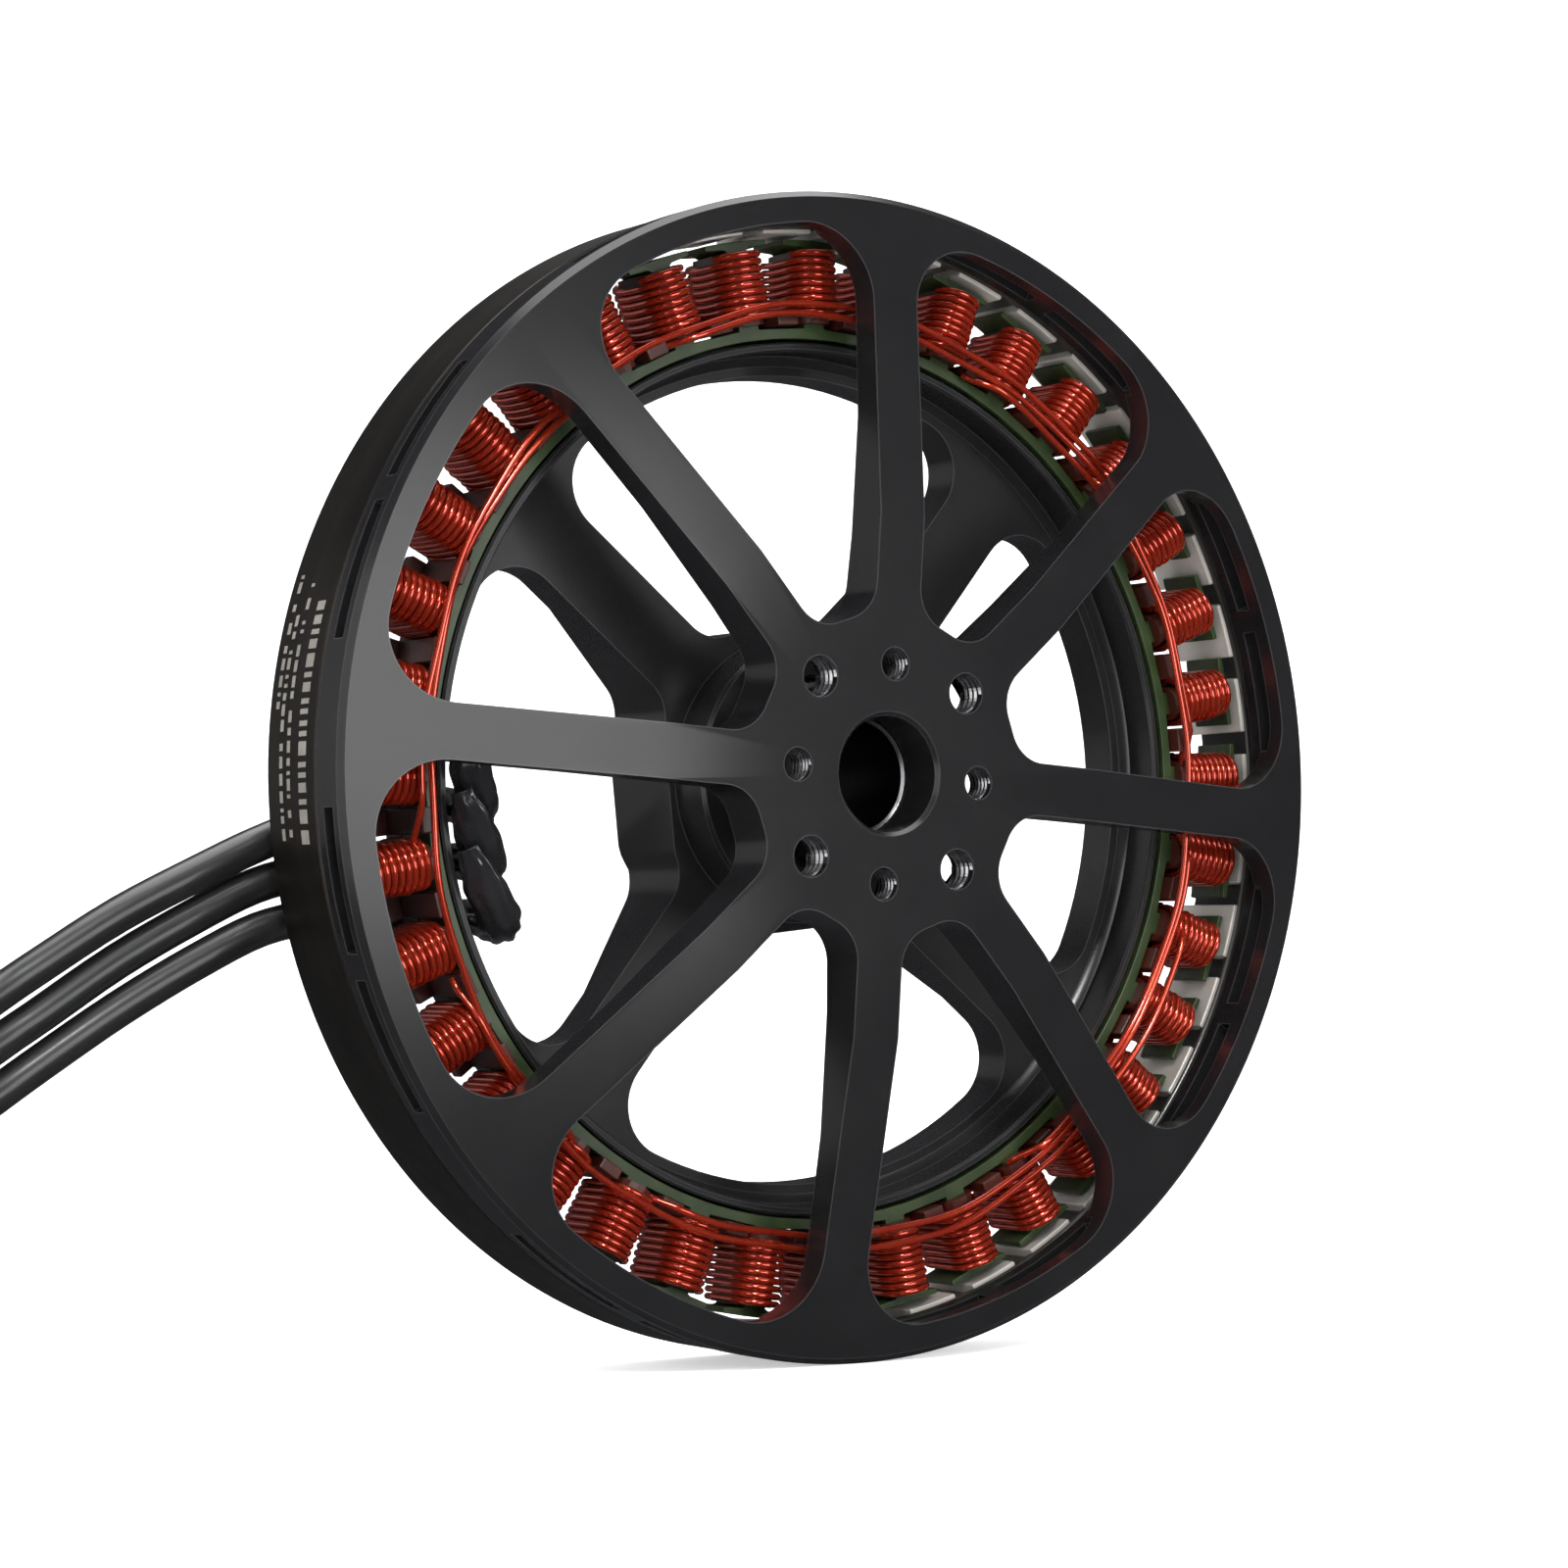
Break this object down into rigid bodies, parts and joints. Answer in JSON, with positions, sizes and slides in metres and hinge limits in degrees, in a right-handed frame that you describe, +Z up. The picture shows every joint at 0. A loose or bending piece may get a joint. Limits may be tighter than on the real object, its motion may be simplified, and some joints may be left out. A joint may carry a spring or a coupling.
{
  "type": "brushless outrunner motor",
  "caption": "Flat outrunner motor: a spoked rotor with a ring of magnets turns around a wound stator on a spoked frame, with its leads coiled beside it.",
  "frame": {"origin": "on the motor axis, in the plane of the rear mounting face", "axes": "+Y along the motor axis, out of the rear mounting face; -Y out of the propeller side; +Z up as the motor stands on its rim"},
  "size_m": [0.1856, 0.0411, 0.107],
  "materials": {
    "cover": "black anodised, satin with bright edges",
    "frame": "black anodised, satin",
    "yoke": "dark blackened turned steel",
    "magnet": "nickel plate",
    "steel": "ground steel",
    "spring_steel": "blackened spring steel",
    "bearing": "polished bearing steel with metal shields",
    "lamination": "stacked steel sheets under green epoxy",
    "winding": "red enamelled copper wire, glossy",
    "sleeve": "black heat-shrink sleeve, glossy",
    "lead": "black silicone insulation, satin",
    "connector": "gold plate",
    "tie": "black nylon"
  },
  "bodies": {
    "stator": {"stator_base": "frame", "stator_core": "lamination", "front_bearing": "bearing", "rear_bearing": "bearing", "coil_01": "winding", "coil_02": "winding", "coil_03": "winding", "coil_04": "winding", "coil_05": "winding", "coil_06": "winding", "coil_07": "winding", "coil_08": "winding", "coil_09": "winding", "coil_10": "winding", "coil_11": "winding", "coil_12": "winding", "coil_13": "winding", "coil_14": "winding", "coil_15": "winding", "coil_16": "winding", "coil_17": "winding", "coil_18": "winding", "coil_19": "winding", "coil_20": "winding", "coil_21": "winding", "coil_22": "winding", "coil_23": "winding", "coil_24": "winding", "coil_25": "winding", "coil_26": "winding", "coil_27": "winding", "coil_28": "winding", "coil_29": "winding", "coil_30": "winding", "coil_31": "winding", "coil_32": "winding", "coil_33": "winding", "coil_34": "winding", "coil_35": "winding", "coil_36": "winding", "splice_a": "sleeve", "splice_b": "sleeve", "splice_c": "sleeve", "lead_a": "lead", "lead_b": "lead", "lead_c": "lead", "lead_tail_a": "lead", "lead_tail_b": "lead", "lead_tail_c": "lead", "lead_coil": "lead", "coil_tie": "tie", "connector_a": "connector", "connector_b": "connector", "connector_c": "connector"},
    "rotor": {"rotor_cover": "cover", "yoke_ring": "yoke", "magnet_ring": "magnet", "rotor_shaft": "steel", "shaft_shim": "steel", "retaining_ring": "spring_steel"}
  },
  "joints": [
    {"name": "rotor_spin", "type": "hinge", "parent": "stator", "child": "rotor", "pos_m": [0, 0, 0], "axis": [0, 1, 0], "continuous": true}
  ]
}
